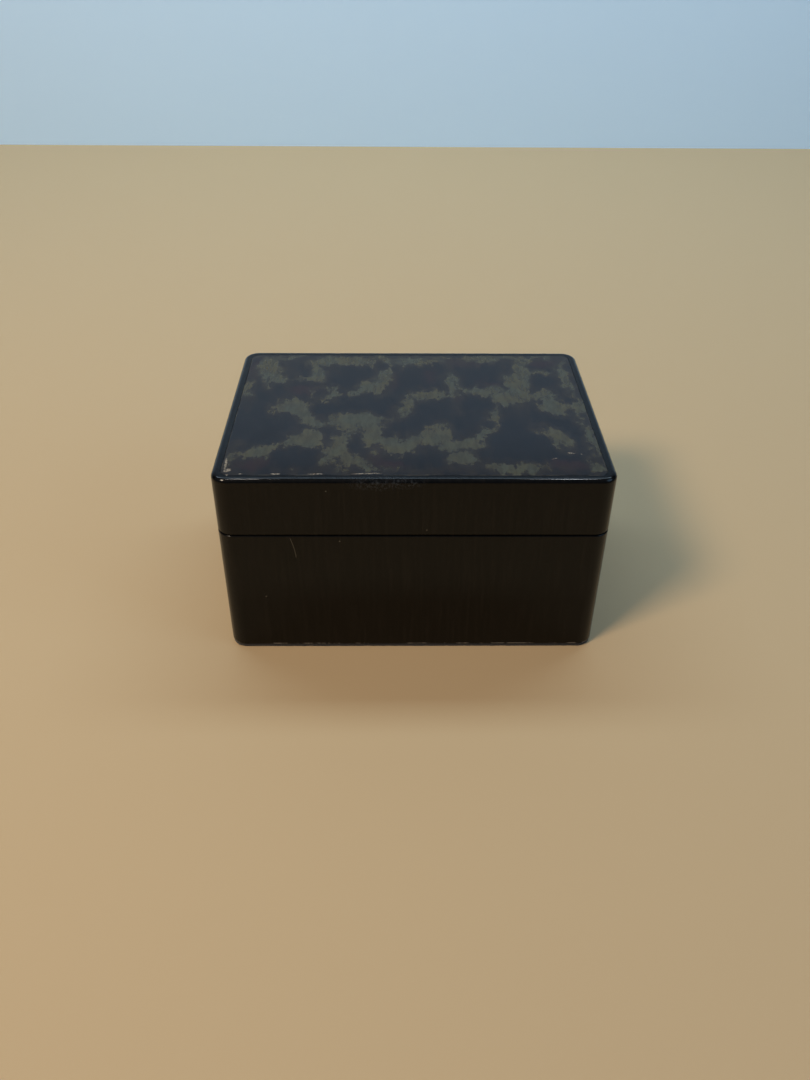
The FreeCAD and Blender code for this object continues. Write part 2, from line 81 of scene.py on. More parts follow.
class Shader:
    """One procedural material. Its coordinates are the part's own, in millimetres."""

    def __init__(self, name):
        self.material = bpy.data.materials.new(name)
        self.material.use_nodes = True
        self.tree = self.material.node_tree
        self.tree.nodes.clear()
        output = self.tree.nodes.new("ShaderNodeOutputMaterial")
        self.surface = self.tree.nodes.new("ShaderNodeBsdfPrincipled")
        self.tree.links.new(self.surface.outputs[0], output.inputs["Surface"])
        place = self.tree.nodes.new("ShaderNodeTexCoord")
        in_millimetres = {0: place.outputs["Object"], "Scale": 1 / MM}
        self.place = self.node("ShaderNodeVectorMath", in_millimetres, operation="SCALE").outputs[0]

    def feed(self, socket, value):
        """Link a socket to another node's output, or give it a plain value."""
        if isinstance(value, bpy.types.NodeSocket):
            self.tree.links.new(value, socket)
        else:
            socket.default_value = value

    def node(self, kind, values=(), **settings):
        made = self.tree.nodes.new(kind)
        for key, value in settings.items():
            setattr(made, key, value)
        for key, value in dict(values).items():
            self.feed(made.inputs[key], value)
        return made

    def math(self, operation, *values):
        made = self.node("ShaderNodeMath", dict(enumerate(values)), operation=operation)
        return made.outputs[0]

    def vector(self, operation, *values):
        made = self.node("ShaderNodeVectorMath", dict(enumerate(values)), operation=operation)
        return made.outputs["Value"] if operation in ("LENGTH", "DOT_PRODUCT") else made.outputs[0]

    def axes(self, vector=None):
        split = self.node("ShaderNodeSeparateXYZ", {0: vector or self.place})
        return split.outputs[0], split.outputs[1], split.outputs[2]

    def join(self, x, y, z):
        return self.node("ShaderNodeCombineXYZ", {0: x, 1: y, 2: z}).outputs[0]

    def stretch(self, x, y, z):
        """Coordinates multiplied per axis, for patterns longer one way than another."""
        return self.vector("MULTIPLY", self.place, (x, y, z))

    def noise(self, size, detail=3.0, rough=0.5, vector=None, twist=0.0, colour=False):
        """Noise whose blobs are about this many millimetres across, from 0 to 1."""
        values = {"Vector": vector or self.place, "Scale": 1 / size, "Detail": detail,
                  "Roughness": rough, "Distortion": twist}
        made = self.node("ShaderNodeTexNoise", values)
        return made.outputs["Color" if colour else 0]

    def cells(self, size):
        """The distance to the nearest of many scattered points, as a part of their spacing."""
        values = {"Vector": self.place, "Scale": 1 / size}
        return self.node("ShaderNodeTexVoronoi", values).outputs["Distance"]

    def step(self, value, low, high, start=0.0, end=1.0):
        """A smooth rise from start to end as value goes from low to high."""
        values = {0: value, 1: low, 2: high, 3: start, 4: end}
        return self.node("ShaderNodeMapRange", values, interpolation_type="SMOOTHSTEP").outputs[0]

    def mix(self, factor, first, second):
        """The first colour at factor 0, the second at factor 1."""
        made = self.node("ShaderNodeMix", data_type="RGBA")
        for index, value in ((0, factor), (6, first), (7, second)):
            self.feed(made.inputs[index], value)
        return made.outputs[2]

    def bump(self, height, depth, below=None):
        """A bump whose full height is depth millimetres."""
        values = {"Height": height, "Distance": depth * MM, "Strength": 1.0}
        if below is not None:
            values["Normal"] = below
        return self.node("ShaderNodeBump", values).outputs[0]

    def finish(self, **values):
        """Set the surface's own inputs, named with _ for each space, and return the material."""
        for key, value in values.items():
            self.feed(self.surface.inputs[key.replace("_", " ")], value)
        return self.material


def spots(shader, plane, places, soft):
    """The signed depth, in millimetres, inside a group of turned ellipses: positive inside.

    Each place is (x, y, half width, half height, turn in degrees).
    """
    total = None
    for x, y, half_x, half_y, turn in places:
        moved = shader.vector("SUBTRACT", plane, (x, y, 0))
        if turn:
            made = shader.node("ShaderNodeVectorRotate", {"Vector": moved, "Angle": math.radians(-turn)},
                               rotation_type="Z_AXIS")
            moved = made.outputs[0]
        scaled = shader.vector("DIVIDE", moved, (half_x, half_y, 1))
        reach = shader.vector("LENGTH", scaled)
        size = min(half_x, half_y)
        depth = shader.math("MULTIPLY_ADD", reach, -size, size)
        total = depth if total is None else shader.math("SMOOTH_MAX", total, depth, soft)
    return total


# Clear windows in the tortoiseshell, seen from above: x, y, half width, half height, turn.
CLEAR_PLACES = [
    (-40.8, 26.0, 4.4, 8.4, 0), (-38.6, 16.6, 2.6, 6.0, 10), (-46.2, 12.0, 1.6, 6.0, 0),
    (-27.5, 24.0, 2.6, 7.6, 8), (-20.0, 29.2, 10.4, 3.4, 0), (-24.0, 8.4, 4.2, 4.0, 0),
    (-31.0, 18.6, 5.0, 1.5, 12), (-8.0, 21.0, 2.8, 9.6, -8), (-11.0, 12.4, 4.2, 4.6, 14),
    (-17.4, 9.6, 5.2, 1.8, -6), (2.0, 28.8, 8.4, 2.4, 0), (4.4, 8.0, 4.6, 3.2, 20),
    (-1.4, 1.6, 2.2, 7.4, -26), (11.6, 13.0, 2.2, 9.4, 0), (20.8, 10.6, 6.6, 3.0, 8),
    (30.6, 18.0, 3.4, 14.0, -3), (26.4, 5.6, 3.8, 4.0, -30), (39.4, 2.4, 5.0, 6.6, 10),
    (36.4, 8.6, 3.4, 2.6, 30), (44.8, 20.0, 1.9, 11.0, 0), (45.6, 1.0, 2.4, 6.4, 0),
    (-33.4, 0.6, 5.2, 4.8, 0), (-27.4, -6.4, 2.2, 8.6, 34), (-14.8, -7.8, 7.4, 5.8, 0),
    (-14.6, -20.0, 3.8, 10.6, 0), (-26.0, -16.6, 6.8, 5.0, 12), (-20.4, -21.6, 2.4, 7.4, -8),
    (-4.0, -20.6, 6.8, 3.4, 10), (5.6, -14.6, 4.6, 6.0, -18), (12.0, -19.4, 5.2, 3.0, 6),
    (17.6, -14.4, 1.8, 10.6, -28), (22.4, -5.0, 1.6, 4.0, -20), (24.4, -31.0, 9.0, 2.2, 0),
    (12.6, -26.4, 3.0, 4.0, 20), (-40.2, -23.6, 3.4, 3.4, 0), (-36.0, -19.6, 4.0, 1.6, 30),
    (-11.4, -13.4, 4.2, 5.6, 0), (-6.8, -17.6, 5.6, 2.6, 16), (1.8, -17.6, 4.4, 3.0, 24),
    (37.4, -15.6, 2.2, 6.4, 34), (46.4, -18.4, 1.4, 9.0, 0), (45.0, -30.4, 2.6, 2.6, 0),
    (22.0, 29.6, 4.6, 1.6, 0), (38.0, 22.6, 3.8, 1.2, -16), (9.0, 31.6, 36.0, 0.9, 0),
    (-45.6, -28.0, 1.5, 4.8, 0), (-6.4, -31.8, 9.0, 0.8, 0),
]
# Dark flecks inside the clear windows.
DARK_FLECKS = [
    (42.8, 5.2, 2.4, 2.2, 0), (-14.6, -18.2, 1.2, 4.6, 0), (-33.0, 25.4, 3.4, 2.6, 0),
    (-37.2, 10.6, 3.0, 3.4, 0), (-20.0, 22.0, 4.0, 2.2, 0), (6.0, 1.6, 2.6, 3.0, 0),
    (-22.6, -14.4, 1.5, 4.6, 14), (-25.4, 8.8, 1.3, 3.2, -8), (-19.8, 10.6, 1.1, 2.4, 0),
    (19.0, -8.6, 2.8, 2.0, 40), (6.6, -21.4, 1.0, 3.0, 0), (-9.2, 26.6, 1.6, 2.6, 0),
    (-32.6, 21.0, 3.6, 2.4, 0), (-11.6, -24.6, 0.9, 4.0, 0), (28.0, 24.2, 1.3, 3.4, -10),
    (-0.4, 22.6, 1.8, 4.6, 0),
]
# Parts of the dark masses where the red brown of the shell shows through.
RUSTY_PLACES = [
    (14.0, 29.0, 11.0, 2.6, 0), (38.4, 28.6, 8.0, 2.4, 0), (-9.6, -24.0, 1.4, 6.0, 0),
    (-7.0, -29.0, 5.0, 2.0, 0), (-46.0, 24.0, 1.6, 7.0, 0), (12.6, 6.0, 1.4, 3.4, 0),
    (6.0, 19.6, 1.6, 3.4, 0), (-4.6, 16.4, 1.2, 4.6, 0), (22.6, 15.0, 4.4, 1.6, 0),
    (-40.0, -29.0, 4.0, 3.0, 20), (38.0, -29.0, 5.0, 2.4, 0), (-30.0, 11.0, 4.6, 3.0, 0),
]
# Worn or chipped spots along the panel's front edge and corners.
WORN_PLACES = [
    (-33.9, -33.3, 1.3, 0.35, 0), (-42.6, -33.3, 0.8, 0.25, 0), (-24.0, -33.3, 2.3, 0.25, 0),
    (-11.6, -33.1, 3.8, 0.30, 2), (-46.7, -28.5, 0.35, 3.0, 4), (-45.9, -31.6, 1.0, 0.7, 40),
    (35.2, -26.1, 0.9, 0.22, 24), (40.0, -23.4, 1.0, 0.32, -14), (42.4, -24.0, 0.3, 0.2, 0),
]
# A dusty smudge along the lid's top front edge, seen from the front: x, z, half sizes, turn.
LINT_PLACES = [(-9.0, 53.4, 7.6, 1.6, 0), (-2.6, 53.8, 5.0, 1.2, 0)]


def tortoiseshell():
    """Dark, feathered masses and clear olive and amber windows, under a polish."""
    olive = (0.062, 0.053, 0.025, 1)
    grey_green = (0.050, 0.051, 0.033, 1)
    brown_hairs = (0.026, 0.021, 0.014, 1)
    near_black = (0.0055, 0.0050, 0.0062, 1)
    warm_black = (0.012, 0.010, 0.010, 1)
    maroon = (0.022, 0.0085, 0.0085, 1)
    brown_halo = (0.022, 0.015, 0.010, 1)
    # the pale of the line round the panel's edge: a painted highlight and wear
    edge_highlight_and_wear = (0.20, 0.18, 0.14, 1)
    bare_shell = (0.26, 0.21, 0.15, 1)

    s = Shader("tortoiseshell")
    x, y, _ = s.axes()
    middle = (0.5, 0.5, 0.5)
    squat = s.stretch(1.0, 0.7, 1.0)
    drift = s.vector("SUBTRACT", s.noise(6.0, 2.0, 0.5, vector=squat, colour=True), middle)
    ragged = s.vector("SUBTRACT", s.noise(1.7, 3.0, 0.62, colour=True), middle)
    teeth = s.noise(1.1, 3.0, 0.62, vector=s.stretch(1.0, 0.22, 1.0), colour=True)
    teeth = s.vector("SUBTRACT", teeth, middle)
    warped = s.vector("MULTIPLY_ADD", drift, (6.0, 6.0, 0.0), s.place)
    warped = s.vector("MULTIPLY_ADD", ragged, (4.2, 5.0, 0.0), warped)
    warped = s.vector("MULTIPLY_ADD", teeth, (1.6, 6.0, 0.0), warped)
    plane = s.vector("MULTIPLY", warped, (1, 1, 0))

    window = spots(s, plane, CLEAR_PLACES, 1.0)
    fleck = spots(s, plane, DARK_FLECKS, 0.5)
    window = s.math("MINIMUM", window, s.math("MULTIPLY_ADD", fleck, -1.3, -0.4))
    islands = s.noise(3.4, 4.0, 0.62, vector=squat)
    window = s.math("MULTIPLY_ADD", s.math("SUBTRACT", islands, 0.5), 7.0, window)
    clear = s.step(window, -0.5, 1.1)
    fringe = s.step(window, -3.0, 0.4)
    rusty = s.step(spots(s, plane, RUSTY_PLACES, 1.0), -1.2, 1.6)

    cloud = s.noise(9.0, 3.0, 0.6)
    grain = s.noise(1.3, 4.0, 0.65, vector=s.stretch(1.0, 0.28, 1.0))
    ground = s.mix(s.step(cloud, 0.36, 0.64), olive, grey_green)
    ground = s.mix(s.math("MULTIPLY", s.step(grain, 0.62, 0.36), 0.55), ground, brown_hairs)
    heart = s.mix(s.step(grain, 0.46, 0.78), near_black, warm_black)
    heart = s.mix(s.math("MULTIPLY", rusty, 0.8), heart, maroon)
    halo = s.mix(s.math("MULTIPLY", fringe, 0.75), heart, brown_halo)
    shell = s.mix(clear, halo, ground)

    near_edge = s.vector("MULTIPLY_ADD", ragged, (0.9, 0.5, 0), s.stretch(1, 1, 0))
    worn = s.step(spots(s, near_edge, WORN_PLACES, 0.1), -0.05, 0.16)
    worn = s.math("MULTIPLY", worn, s.step(s.noise(0.5, 3.0, 0.6), 0.36, 0.6))
    edge_x = s.math("SUBTRACT", panel_high.x / MM, s.math("ABSOLUTE", x))
    middle_y = (panel_low.y + panel_high.y) / 2 / MM
    half_y = (panel_high.y - panel_low.y) / 2 / MM
    edge_y = s.math("SUBTRACT", half_y, s.math("ABSOLUTE", s.math("SUBTRACT", y, middle_y)))
    edge = s.math("MINIMUM", edge_x, edge_y)
    # A pale broken line round the panel's edge: a painted highlight where the edge catches light, with
    # wear.
    rim = s.math("MULTIPLY", s.step(edge, 0.32, 0.05), s.step(s.noise(5.0, 3.0, 0.6), 0.42, 0.6))
    shell = s.mix(s.math("MULTIPLY", rim, 0.35), shell, edge_highlight_and_wear)
    colour = s.mix(worn, shell, bare_shell)

    smear = s.noise(9.0, 4.0, 0.6)
    gloss = s.step(smear, 0.35, 0.75, 0.10, 0.19)
    gloss = s.math("MAXIMUM", gloss, s.math("MULTIPLY", worn, 0.5))
    wave = s.bump(s.noise(7.0, 2.0, 0.5), 0.012)
    return s.finish(Base_Color=colour, Roughness=gloss, Normal=wave, IOR=1.42)


def hair_scratch(s, x, z):
    """One long, slightly bowed scratch down the front from the seam, as a mask."""
    start_x = -31.4
    lean = 0.22
    bow = -0.022
    bow_middle = SEAM - 3.4
    line_x = s.math("MULTIPLY_ADD", s.math("SUBTRACT", SEAM, z), lean, start_x)
    bowed = s.math("MULTIPLY", s.math("POWER", s.math("SUBTRACT", bow_middle, z), 2.0), bow)
    off_line = s.math("ABSOLUTE", s.math("SUBTRACT", x, s.math("ADD", line_x, bowed)))
    hair = s.step(off_line, 0.13, 0.03)
    hair = s.math("MULTIPLY", hair, s.step(z, SEAM - 7.4, SEAM - 6.4))
    return s.math("MULTIPLY", hair, s.step(z, SEAM - 0.4, SEAM - 1.2))


def lacquer():
    """Near-black gloss lacquer with fine scratches, smears, faint brownish streaks that are partly a
    painted reflection of wood grain, and a pale line along its bottom edge that is worn lacquer and a
    painted highlight.
    """
    black = (0.0002, 0.0002, 0.0002, 1)
    # the brown of the faint vertical streaks, partly a painted reflection of wood grain
    streak_reflection_brown = (0.0038, 0.0029, 0.0021, 1)
    # the pale of the bottom edge's line: worn lacquer and a painted highlight
    worn_and_highlight_pale = (0.30, 0.27, 0.23, 1)
    scratched = (0.085, 0.075, 0.055, 1)
    dusty = (0.055, 0.062, 0.070, 1)

    s = Shader("black_lacquer")
    x, y, z = s.axes()
    smear = s.noise(14.0, 4.0, 0.6)
    streak = s.noise(0.9, 3.0, 0.6, vector=s.stretch(1.0, 1.0, 0.05))
    along_x = s.noise(0.22, 2.0, 0.5, vector=s.stretch(0.03, 0.4, 1.0))
    along_z = s.noise(0.25, 2.0, 0.5, vector=s.stretch(1.0, 0.4, 0.04))
    scratch = s.math("MAXIMUM", s.step(along_x, 0.66, 0.74), s.step(along_z, 0.68, 0.76))
    # Faint brownish vertical streaks over the black: brush streaks in the lacquer that also stand in for
    # reflected wood grain, a painted reflection.
    base = s.mix(s.step(streak, 0.40, 0.72), black, streak_reflection_brown)

    on_front = s.step(y, FRONT + 0.3, FRONT + 0.05)
    hair = s.math("MULTIPLY", hair_scratch(s, x, z), on_front)
    chip = s.math("MULTIPLY", s.step(s.cells(9.0), 0.030, 0.018), on_front)
    marks = s.math("MAXIMUM", hair, chip)
    # A pale broken line just above the foot along the bottom edge: worn lacquer and a painted highlight
    # where the edge catches light.
    low_edge = s.step(z, FOOT + 0.55, FOOT + 0.25)
    low_edge = s.math("MULTIPLY", low_edge, s.step(s.noise(3.2, 3.0, 0.6), 0.45, 0.6))
    lint = s.step(spots(s, s.join(x, z, 0.0), LINT_PLACES, 1.0), -0.4, 1.0)
    lint = s.math("MULTIPLY", lint, s.step(y, FRONT + 2.0, FRONT + 1.2))
    lint = s.math("MULTIPLY", lint, s.step(s.noise(0.8, 4.0, 0.75), 0.46, 0.66))
    colour = s.mix(s.math("MULTIPLY", low_edge, 0.8), base, worn_and_highlight_pale)
    colour = s.mix(s.math("MULTIPLY", marks, 0.8), colour, scratched)
    colour = s.mix(s.math("MULTIPLY", lint, 0.5), colour, dusty)

    gloss = s.step(smear, 0.35, 0.7, 0.07, 0.16)
    gloss = s.math("MULTIPLY_ADD", scratch, 0.08, gloss)
    gloss = s.math("MAXIMUM", gloss, s.math("MULTIPLY", marks, 0.45))
    wave = s.bump(s.noise(5.0, 2.0, 0.5), 0.010)
    brushed = s.bump(streak, 0.008, wave)
    return s.finish(Base_Color=colour, Roughness=gloss, Normal=brushed, IOR=1.30, Coat_Weight=0.08,
                    Coat_Roughness=0.5)


def velvet(name, deep, light):
    """Short pile cloth: fine pile, faintly brushed patches and a tinted sheen at grazing angles."""
    s = Shader(name)
    pile = s.noise(0.16, 3.0, 0.75)
    tuft = s.noise(0.55, 2.0, 0.6)
    brushed = s.noise(12.0, 3.0, 0.55, twist=0.4)
    colour = s.mix(s.step(brushed, 0.25, 0.75), deep, light)
    colour = s.mix(s.math("MULTIPLY", s.step(pile, 0.62, 0.38), 0.55), colour, deep)
    colour = s.mix(s.math("MULTIPLY", s.step(tuft, 0.45, 0.65), 0.25), colour, light)
    height = s.math("MULTIPLY_ADD", tuft, 0.6, pile)
    return s.finish(Base_Color=colour, Roughness=1.0, Normal=s.bump(height, 0.16), Sheen_Weight=0.45,
                    Sheen_Roughness=0.5, Sheen_Tint=(0.75, 0.16, 0.20, 1), Specular_IOR_Level=0.04)


def felt():
    """Black wool felt with a fibrous nap."""
    s = Shader("black_felt")
    fibre = s.noise(0.25, 4.0, 0.75, twist=1.5)
    colour = s.mix(fibre, (0.006, 0.006, 0.006, 1), (0.022, 0.021, 0.020, 1))
    return s.finish(Base_Color=colour, Roughness=1.0, Normal=s.bump(fibre, 0.15), Sheen_Weight=0.2)


def flannel():
    """Buff cotton flannel: a fine plain weave under a brushed nap, a stitched hem, a little rosin dust."""
    s = Shader("buff_flannel")
    flat = s.node("ShaderNodeAttribute", attribute_name=FLAT_PLACE).outputs["Vector"]
    across, along, _ = s.axes(flat)
    thread_pitch = 0.45
    stitch_pitch = 1.6
    hem = 2.2
    turns = 2 * math.pi / thread_pitch
    warp = s.math("SINE", s.math("MULTIPLY", across, turns))
    weft = s.math("SINE", s.math("MULTIPLY", along, turns))
    weave = s.math("MULTIPLY_ADD", s.math("MULTIPLY", warp, weft), 0.5, 0.5)
    nap = s.noise(0.3, 4.0, 0.7)
    stain = s.noise(9.0, 4.0, 0.6)
    from_side = s.math("SUBTRACT", CLOTH_WIDE / 2 / MM, s.math("ABSOLUTE", across))
    from_end = s.math("SUBTRACT", CLOTH_DEEP / 2 / MM, s.math("ABSOLUTE", along))
    inward = s.math("MINIMUM", from_side, from_end)
    dashes = s.math("SINE", s.math("MULTIPLY", s.math("ADD", across, along), 2 * math.pi / stitch_pitch))
    line = s.math("ABSOLUTE", s.math("SUBTRACT", inward, hem))
    stitch = s.math("MULTIPLY", s.step(line, 0.28, 0.14), s.step(dashes, -0.5, 0.1))
    colour = s.mix(s.step(stain, 0.4, 0.7), (0.52, 0.41, 0.25, 1), (0.40, 0.30, 0.17, 1))
    colour = s.mix(s.math("MULTIPLY", nap, 0.5), colour, (0.62, 0.52, 0.35, 1))
    colour = s.mix(s.math("MULTIPLY", weave, 0.18), colour, (0.30, 0.23, 0.13, 1))
    colour = s.mix(stitch, colour, (0.66, 0.58, 0.42, 1))
    height = s.math("MULTIPLY_ADD", weave, 0.5, nap)
    height = s.math("MULTIPLY_ADD", s.step(line, 0.5, 0.1), -1.2, height)
    return s.finish(Base_Color=colour, Roughness=0.95, Normal=s.bump(height, 0.07), Sheen_Weight=0.3)


def rosin():
    """Cast amber rosin: clear and glassy below, dusty white where the bow has worn its top."""
    s = Shader("amber_rosin")
    _, y, z = s.axes()
    cake_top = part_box("rosin_cake")[1].z / MM
    worn_y = s.step(s.math("ABSOLUTE", y), 9.5, 3.0)
    on_top = s.step(z, cake_top - 1.6, cake_top - 0.8)
    lines = s.noise(0.30, 3.0, 0.65, vector=s.stretch(0.03, 1.0, 0.3))
    patch = s.noise(7.0, 3.0, 0.6, vector=s.stretch(0.4, 1.0, 1.0))
    track = s.math("MULTIPLY", s.math("MULTIPLY", worn_y, on_top), s.step(patch, 0.2, 0.6, 0.35, 0.8))
    dust = s.math("MULTIPLY", track, s.step(lines, 0.38, 0.62, 0.45, 1.0))
    powder = s.math("MULTIPLY", s.step(s.noise(0.9, 4.0, 0.75), 0.56, 0.75), on_top)
    dust = s.math("MAXIMUM", dust, s.math("MULTIPLY", powder, 0.4))
    cloud = s.noise(9.0, 3.0, 0.55)
    amber = s.mix(s.step(cloud, 0.35, 0.65), (0.86, 0.34, 0.050, 1), (0.66, 0.20, 0.022, 1))
    colour = s.mix(dust, amber, (0.86, 0.62, 0.32, 1))
    gloss = s.math("MULTIPLY_ADD", dust, 0.55, s.step(s.noise(4.0, 3.0, 0.6), 0.4, 0.7, 0.06, 0.22))
    clear = s.math("MULTIPLY_ADD", dust, -0.6, 0.62)
    return s.finish(Base_Color=colour, Roughness=gloss, IOR=1.53, Transmission_Weight=clear,
                    Normal=s.bump(lines, 0.02))


def brass():
    """Drawn brass, dulled in patches."""
    s = Shader("hinge_brass")
    tarnish = s.noise(2.2, 4.0, 0.65)
    grain = s.noise(0.12, 2.0, 0.5, vector=s.stretch(0.05, 1.0, 1.0))
    colour = s.mix(s.step(tarnish, 0.4, 0.7), (0.78, 0.56, 0.24, 1), (0.48, 0.31, 0.12, 1))
    gloss = s.math("MULTIPLY_ADD", grain, 0.12, s.step(tarnish, 0.4, 0.7, 0.18, 0.38))
    return s.finish(Base_Color=colour, Metallic=1.0, Roughness=gloss, Normal=s.bump(grain, 0.004))


def thin_board():
    """Unfinished birch board: fine straight grain and short pores."""
    s = Shader("thin_board")
    grain = s.noise(1.6, 4.0, 0.6, vector=s.stretch(0.06, 1.0, 1.0), twist=0.4)
    pores = s.noise(0.3, 2.0, 0.6, vector=s.stretch(0.12, 1.0, 1.0))
    colour = s.mix(s.step(grain, 0.3, 0.7), (0.62, 0.45, 0.26, 1), (0.47, 0.31, 0.16, 1))
    colour = s.mix(s.step(pores, 0.66, 0.78), colour, (0.25, 0.15, 0.07, 1))
    return s.finish(Base_Color=colour, Roughness=0.6, Normal=s.bump(grain, 0.02))


def paint_nodes():
    """Give every CAD node the material of its slot."""
    made = {
        "black_lacquer": lacquer(), "tortoiseshell": tortoiseshell(), "plain_board": thin_board(),
        "velvet_lining": velvet("burgundy_velvet", (0.055, 0.0035, 0.008, 1), (0.125, 0.008, 0.018, 1)),
        "underside_felt": felt(), "rosin_cloth": flannel(), "rosin": rosin(), "hinge_brass": brass(),
    }
    for part in frame["record"]["subparts"]:
        node = frame["nodes"][part["node"]]
        node.data.materials.clear()
        node.data.materials.append(made[part["material_slot"]])
    return made


# ------------------------------------------------------------------ soft pieces

SIM_SCALE = 10.0        # the cloth solver suits things about a metre across


def grid_lines(low, high, radius, spacing):
    """Places along one edge of a block: close together in its rounded ends, even between them."""
    bend = [radius * step / 4 for step in range(4)]
    count = max(1, round((high - low - 2 * radius) / spacing))
    span = (high - low - 2 * radius) / count
    middle = [low + radius + span * step for step in range(count + 1)]
    return [low + part for part in bend] + middle + [high - part for part in reversed(bend)]


def rounded_block(low, high, radius, spacing):
    """The points and faces of a block with every edge rounded and every side divided evenly."""
    lines = [grid_lines(low[axis], high[axis], radius, spacing) for axis in range(3)]
    points = []
    known = {}

    def point(key):
        if key not in known:
            raw = Vector([lines[axis][key[axis]] for axis in range(3)])
            core = Vector([min(max(raw[axis], low[axis] + radius), high[axis] - radius)
                           for axis in range(3)])
            known[key] = len(points)
            points.append(core + (raw - core).normalized() * radius)
        return known[key]

    faces = []
    for axis in range(3):
        first, second = (axis + 1) % 3, (axis + 2) % 3
        for end in (0, len(lines[axis]) - 1):
            for i in range(len(lines[first]) - 1):
                for j in range(len(lines[second]) - 1):
                    ring = []
                    for step_i, step_j in ((0, 0), (1, 0), (1, 1), (0, 1)):
                        key = [0, 0, 0]
                        key[axis], key[first], key[second] = end, i + step_i, j + step_j
                        ring.append(point(tuple(key)))
                    faces.append(ring if end else ring[::-1])
    return points, faces


def new_piece(name, points, faces):
    mesh = bpy.data.meshes.new(name)
    mesh.from_pydata([tuple(place) for place in points], [], faces)
    piece = bpy.data.objects.new(name, mesh)
    bpy.context.scene.collection.objects.link(piece)
    return piece


def roughen(piece, size, depth, seed):
    """Move each point along its normal by smooth noise, size across and depth deep."""
    shift = Vector((seed, 2.3 * seed, 0.7 * seed))
    normals = [point.normal.copy() for point in piece.data.vertices]
    for point, normal in zip(piece.data.vertices, normals):
        point.co += normal * depth * noise.noise(point.co / size + shift)


def settle_in(piece, body, slot, node):
    """Give a finished soft piece its body, its material and the CAD node that it stands for."""
    for face in piece.data.polygons:
        face.use_smooth = True
    piece.data.materials.clear()
    piece.data.materials.append(materials[slot])
    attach(piece, body)
    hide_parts(node)
    return piece


def bake_shape(piece):
    """Replace the piece's mesh with what its modifiers make of it."""
    shaped = piece.evaluated_get(bpy.context.evaluated_depsgraph_get())
    piece.data = bpy.data.meshes.new_from_object(shaped)
    piece.modifiers.clear()


def run_cloth(piece, frames):
    """Step the simulation to its last frame, keep that shape, and go back to the first frame."""
    cache = piece.modifiers["cloth"].point_cache
    cache.frame_start = 1
    cache.frame_end = frames
    for frame_number in range(1, frames + 1):
        bpy.context.scene.frame_set(frame_number)
    bake_shape(piece)
    bpy.context.scene.frame_set(1)


def velvet_board(node, body, seed):
    """A liner: velvet wrapped round a thin board, its edges softly rounded by the pile."""
    gap = 0.03 * MM
    pile_round = 0.5 * MM
    spacing = 1.3 * MM
    low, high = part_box(node)
    room = Vector((gap, gap, gap))
    points, faces = rounded_block(low + room, high - room, pile_round, spacing)
    board = new_piece("velvet_" + node, points, faces)
    roughen(board, 5.0 * MM, 0.10 * MM, seed)
    roughen(board, 1.1 * MM, 0.05 * MM, seed + 5)
    return settle_in(board, body, "velvet_lining", node)


def lid_cushion():
    """The padded ceiling: velvet over wadding, held flat at the lid's board and crowned below."""
    low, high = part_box("lid_pad")
    slack = 0.5 * MM            # how much smaller the pad starts, all round
    thinner = 2.6 * MM          # how much thinner it starts
    glue = 0.03 * MM
    spare = 0.05 * MM           # kept free under the crown
    most = 2.4 * MM             # how far any point may swell
    start_low = Vector((low.x + slack, low.y + slack, low.z + thinner))
    start_high = Vector((high.x - slack, high.y - slack, high.z - glue))
    points, faces = rounded_block(start_low, start_high, 1.6 * MM, 1.5 * MM)
    cushion = new_piece("velvet_lid_pad", [place * SIM_SCALE for place in points], faces)
    held = cushion.vertex_groups.new(name="held")
    top = (start_low.z + 1.0 * MM) * SIM_SCALE
    held.add([point.index for point in cushion.data.vertices if point.co.z > top], 1.0, "REPLACE")
    before = [point.co.copy() for point in cushion.data.vertices]
    cloth = cushion.modifiers.new("cloth", "CLOTH").settings
    cloth.use_pressure = True
    cloth.uniform_pressure_force = 4.0
    cloth.vertex_group_mass = "held"
    cloth.effector_weights.gravity = 0.0
    cloth.quality = 6
    run_cloth(cushion, 20)
    for point, start in zip(cushion.data.vertices, before):
        move = point.co - start
        point.co = start + move * min(1.0, most * SIM_SCALE / max(move.length, 1e-9))
    for point in cushion.data.vertices:
        place = point.co / SIM_SCALE
        bound = [min(max(place[axis], low[axis] + spare), high[axis]) for axis in range(3)]
        point.co = Vector(bound)
    roughen(cushion, 9.0 * MM, 0.15 * MM, 3)
    return settle_in(cushion, "lid", "velvet_lining", "lid_pad")


def foam_cradle():
    """The flocked foam block: the CAD block remeshed finely, its edges softened by the flock."""
    mesh = frame["nodes"]["cake_cradle"].data.copy()
    cradle = bpy.data.objects.new("velvet_cake_cradle", mesh)
    bpy.context.scene.collection.objects.link(cradle)
    remesh = cradle.modifiers.new("remesh", "REMESH")
    remesh.mode = "VOXEL"
    remesh.voxel_size = 0.9 * MM
    smooth = cradle.modifiers.new("smooth", "SMOOTH")
    smooth.factor = 0.5
    smooth.iterations = 3
    bake_shape(cradle)
    roughen(cradle, 4.0 * MM, 0.12 * MM, 11)
    return settle_in(cradle, "base", "velvet_lining", "cake_cradle")


def press_tool(node):
    """A large copy of a CAD node that the cloth is pressed against."""
    mesh = frame["nodes"][node].data.copy()
    mesh.transform(Matrix.Scale(SIM_SCALE, 4))
    tool = bpy.data.objects.new("press_" + node, mesh)
    bpy.context.scene.collection.objects.link(tool)
    tool.modifiers.new("hit", "COLLISION")
    tool.collision.thickness_outer = 0.002
    tool.collision.thickness_inner = 0.02
    tool.collision.cloth_friction = 5.0
    tool.collision.damping = 0.6
    return tool


